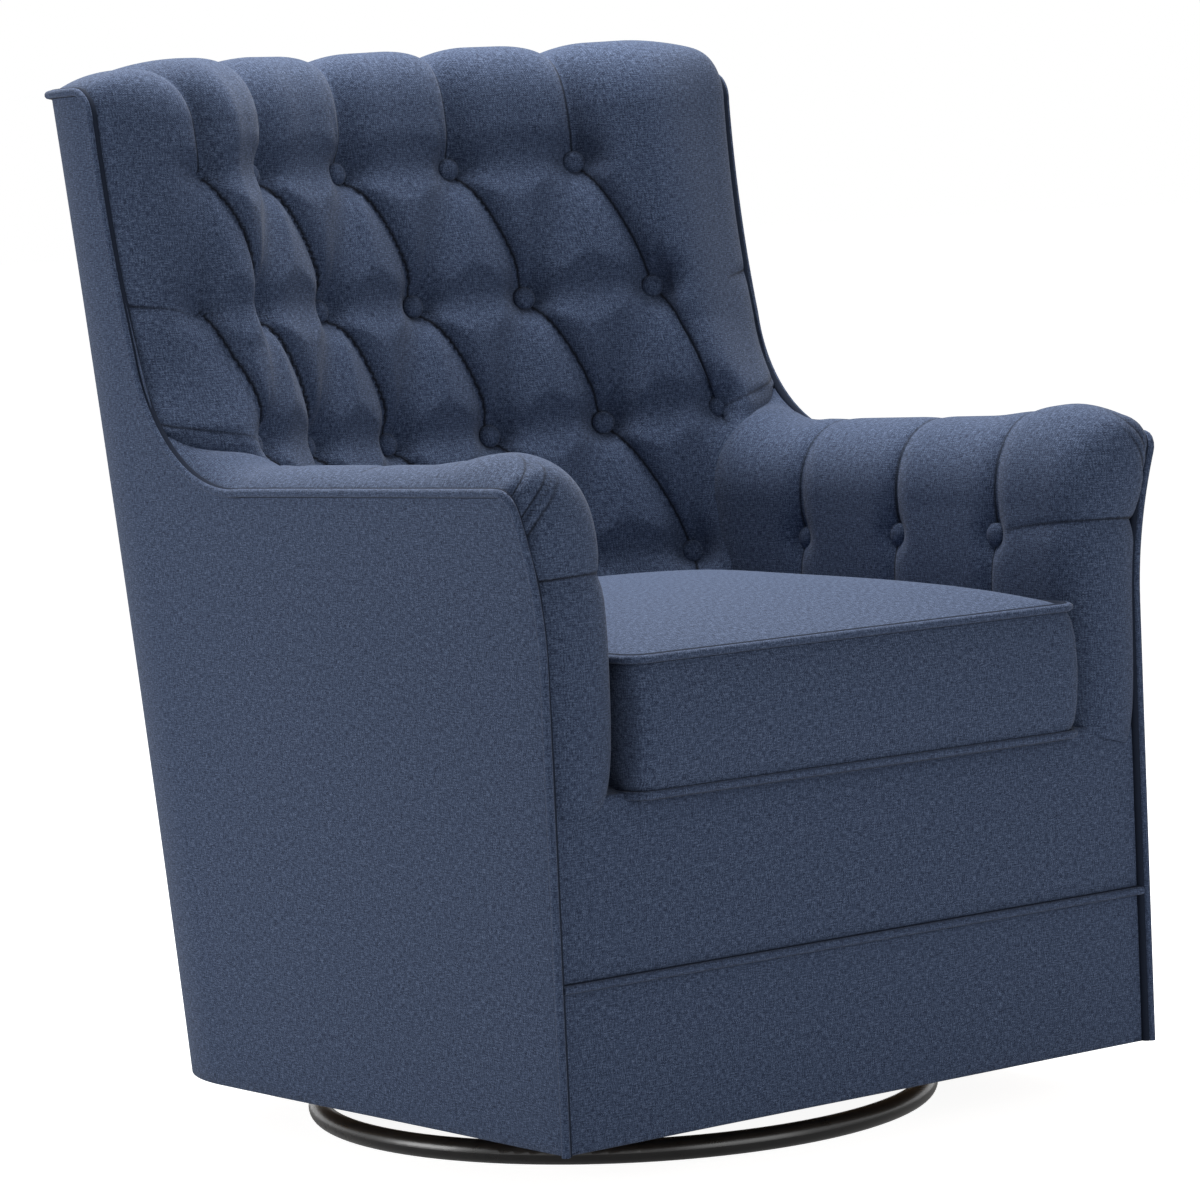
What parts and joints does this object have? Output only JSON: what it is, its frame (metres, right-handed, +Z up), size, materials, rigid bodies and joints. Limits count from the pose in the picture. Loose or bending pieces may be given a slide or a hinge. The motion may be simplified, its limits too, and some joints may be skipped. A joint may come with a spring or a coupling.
{
  "type": "swivel glider chair",
  "caption": "Upholstered barrel-back armchair with diamond tufting, gliding on hanging links over a ball-bearing swivel and a round tube base.",
  "frame": {"origin": "on the floor, at the middle of the overall width and depth; the swivel axis stands 31 mm ahead of it", "axes": "+Z up, the sitter faces -Y, +X to the right seen from the front"},
  "size_m": [0.714, 0.7762, 0.925],
  "materials": {
    "upholstery_fabric": "heathered linen weave",
    "black_steel": "satin black",
    "zinc_steel": "zinc plated",
    "bearing_steel": "ground steel",
    "frame_wood": "raw hardwood",
    "nylon_bush": "natural nylon",
    "webbing_strap": "elastic webbing",
    "deck_cloth": "plain deck cloth"
  },
  "bodies": {
    "base": {"base_ring": "black_steel", "base_cross": "black_steel", "hub_plate": "black_steel", "lower_race": "bearing_steel", "pivot_bolt": "zinc_steel", "pivot_washer": "zinc_steel", "pivot_nut": "zinc_steel"},
    "ball_ring": {"bearing_balls": "bearing_steel", "ball_cage": "bearing_steel"},
    "platform": {"upper_race": "bearing_steel", "swivel_platform": "black_steel", "upper_pins": "zinc_steel"},
    "front_links": {"left_front_link": "black_steel", "right_front_link": "black_steel", "front_link_bushes": "nylon_bush"},
    "rear_links": {"left_rear_link": "black_steel", "right_rear_link": "black_steel", "rear_link_bushes": "nylon_bush"},
    "chair": {"left_seat_rail": "black_steel", "right_seat_rail": "black_steel", "lower_pins": "zinc_steel", "rail_bolts": "zinc_steel", "front_mount_slat": "frame_wood", "rear_mount_slat": "frame_wood", "front_rail": "frame_wood", "rear_rail": "frame_wood", "left_side_rail": "frame_wood", "right_side_rail": "frame_wood", "corner_blocks": "frame_wood", "front_skirt_board": "frame_wood", "rear_skirt_board": "frame_wood", "left_skirt_board": "frame_wood", "right_skirt_board": "frame_wood", "left_arm_post": "frame_wood", "right_arm_post": "frame_wood", "left_arm_rail": "frame_wood", "right_arm_rail": "frame_wood", "left_back_post": "frame_wood", "right_back_post": "frame_wood", "back_top_rail": "frame_wood", "back_lumbar_rail": "frame_wood", "long_webbing": "webbing_strap", "cross_webbing": "webbing_strap", "seat_deck": "deck_cloth", "left_side_cover": "upholstery_fabric", "right_side_cover": "upholstery_fabric", "outside_back": "upholstery_fabric", "front_panel": "upholstery_fabric", "front_border": "upholstery_fabric", "border_welt": "upholstery_fabric", "left_side_welt": "upholstery_fabric", "right_side_welt": "upholstery_fabric", "left_arm_pad": "upholstery_fabric", "right_arm_pad": "upholstery_fabric", "back_pad": "upholstery_fabric", "back_buttons": "upholstery_fabric", "arm_buttons": "upholstery_fabric", "seat_cushion": "upholstery_fabric", "cushion_welts": "upholstery_fabric"}
  },
  "joints": [
    {"name": "swivel", "type": "hinge", "parent": "base", "child": "platform", "pos_m": [0, -0.03063, 0.066], "axis": [0, 0, 1], "continuous": true},
    {"name": "ball_orbit", "type": "hinge", "parent": "base", "child": "ball_ring", "pos_m": [0, -0.03063, 0.058], "axis": [0, 0, 1], "continuous": true},
    {"name": "glide", "type": "hinge", "parent": "platform", "child": "front_links", "pos_m": [0, -0.13563, 0.156], "axis": [1, 0, 0], "range_deg": [-25, 25]},
    {"name": "rear_link_swing", "type": "hinge", "parent": "platform", "child": "rear_links", "pos_m": [0, 0.07437, 0.156], "axis": [1, 0, 0], "range_deg": [-25, 25]},
    {"name": "seat_level", "type": "hinge", "parent": "front_links", "child": "chair", "pos_m": [0, -0.13563, 0.07], "axis": [1, 0, 0], "range_deg": [-25, 25]}
  ],
  "couplings": [
    {"joint": "ball_orbit", "follows": "swivel", "ratio": 0.5},
    {"joint": "rear_link_swing", "follows": "glide", "ratio": 1},
    {"joint": "seat_level", "follows": "glide", "ratio": -1}
  ]
}
